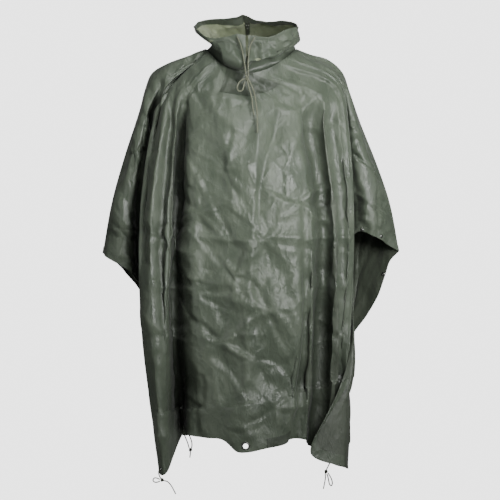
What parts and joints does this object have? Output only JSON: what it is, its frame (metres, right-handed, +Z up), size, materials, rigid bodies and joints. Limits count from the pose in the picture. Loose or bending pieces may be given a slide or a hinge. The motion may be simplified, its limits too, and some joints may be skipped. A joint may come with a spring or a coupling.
{
  "type": "rain poncho",
  "caption": "Hooded rain poncho of thin coated cloth, shown worn and empty, with wide draped sleeves, a drawcord at the face opening and tie cords at its corners.",
  "frame": {"origin": "middle of the neck at the height of the shoulders, where the garment rests on its wearer", "axes": "+Z up, -Y to the front, +X to the right side seen from the front"},
  "size_m": [0.751, 0.3523, 1.1995],
  "materials": {
    "coated_cloth": "thin coated nylon, olive green, semi-gloss and crinkled",
    "trim_cloth": "doubled coated nylon with stitch lines, olive green",
    "cord": "braided polyester cord, tan olive, matt",
    "metal": "darkened metal with worn bright edges"
  },
  "bodies": {
    "root": {"back_panel": "coated_cloth", "cuff_band_left": "trim_cloth", "cuff_band_right": "trim_cloth", "drawcord_bow": "cord", "drawcord_end_long": "cord", "drawcord_end_short": "cord", "drawcord_knot": "cord", "drawcord_left": "cord", "drawcord_right": "cord", "eyelet_back_centre": "metal", "eyelet_back_left": "metal", "eyelet_back_right": "metal", "eyelet_front_centre": "metal", "eyelet_front_left": "metal", "eyelet_front_right": "metal", "flap_band": "trim_cloth", "front_panel": "coated_cloth", "hem_band_back_left": "trim_cloth", "hem_band_back_right": "trim_cloth", "hem_band_front": "trim_cloth", "hood_casing_left": "trim_cloth", "hood_casing_right": "trim_cloth", "hood_left": "coated_cloth", "hood_right": "coated_cloth", "hood_stud_lower": "metal", "hood_stud_upper_left": "metal", "hood_stud_upper_right": "metal", "hood_tape": "trim_cloth", "neck_patch_back": "trim_cloth", "neck_patch_front": "trim_cloth", "stud_left_back_edge": "metal", "stud_left_cuff": "metal", "stud_right_back_edge": "metal", "stud_right_cuff_arm": "metal", "stud_right_cuff_front": "metal", "tie_back_left_end": "cord", "tie_back_left_knot": "cord", "tie_back_left_strand": "cord", "tie_back_right_bow": "cord", "tie_back_right_end": "cord", "tie_back_right_knot": "cord", "tie_back_right_strand": "cord", "tie_front_left_bow": "cord", "tie_front_left_end": "cord", "tie_front_left_knot": "cord", "tie_front_left_strand": "cord", "tie_front_right_bow": "cord", "tie_front_right_end": "cord", "tie_front_right_knot": "cord", "tie_front_right_strand": "cord"}
  },
  "joints": []
}
